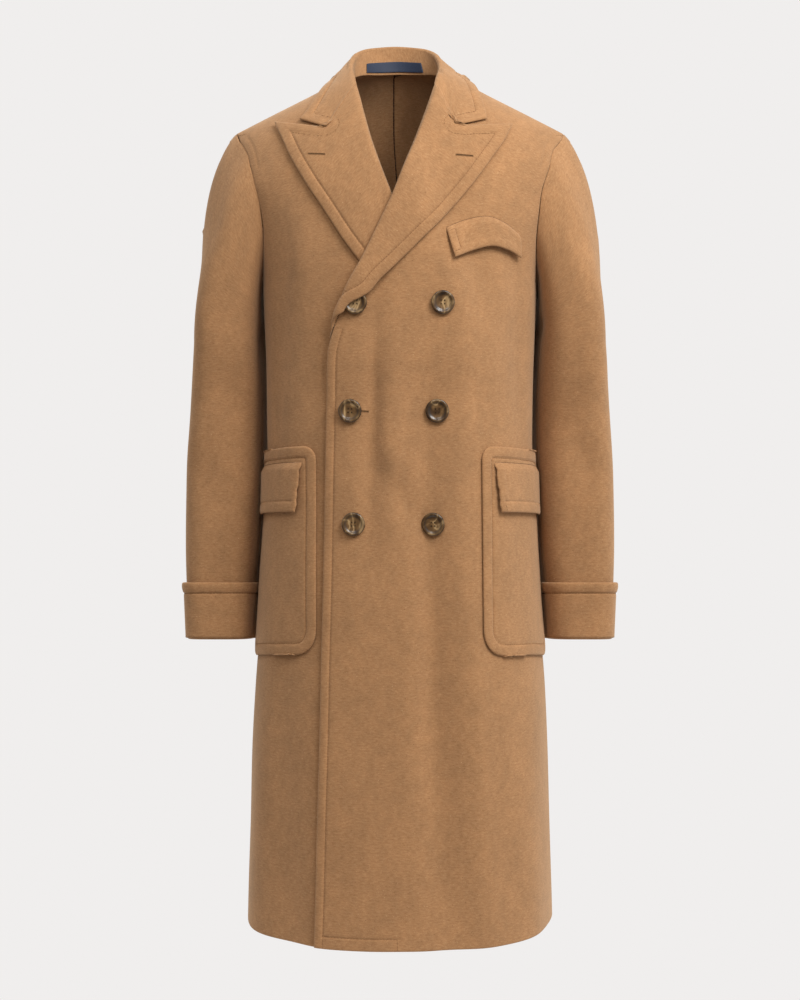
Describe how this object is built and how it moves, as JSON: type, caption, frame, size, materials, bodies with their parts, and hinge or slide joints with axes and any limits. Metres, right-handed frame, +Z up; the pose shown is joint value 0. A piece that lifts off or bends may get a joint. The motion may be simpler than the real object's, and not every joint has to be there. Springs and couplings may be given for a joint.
{
  "type": "polo coat",
  "caption": "Double-breasted polo coat in camel wool, filled out as worn: peak lapels, turned-back cuffs, flapped patch pockets and a curved breast welt; worn over the shoulders.",
  "frame": {"origin": "middle of the neck base between the shoulder seams, where the coat hangs on its wearer's shoulders", "axes": "+Z up along the coat's length, -Y out of the front, +X to the wearer's left"},
  "size_m": [0.6002, 0.3763, 1.2031],
  "materials": {
    "camel_cloth": "brushed camel wool coating with a soft nap",
    "horn_button": "polished brown and grey horn with light streaks",
    "navy_label": "plain woven navy label with no lettering"
  },
  "bodies": {
    "root": {"front_left": "camel_cloth", "front_right": "camel_cloth", "back_left": "camel_cloth", "back_right": "camel_cloth", "sleeve_top_left": "camel_cloth", "sleeve_top_right": "camel_cloth", "sleeve_under_left": "camel_cloth", "sleeve_under_right": "camel_cloth", "cuff_left": "camel_cloth", "cuff_right": "camel_cloth", "lapel_left": "camel_cloth", "lapel_right": "camel_cloth", "collar_fall": "camel_cloth", "collar_stand": "camel_cloth", "pocket_left": "camel_cloth", "pocket_right": "camel_cloth", "pocket_flap_left": "camel_cloth", "pocket_flap_right": "camel_cloth", "breast_welt": "camel_cloth", "button_upper_right": "horn_button", "button_upper_left": "horn_button", "button_middle_right": "horn_button", "button_middle_left": "horn_button", "button_lower_right": "horn_button", "button_lower_left": "horn_button", "neck_label": "navy_label"}
  },
  "joints": []
}
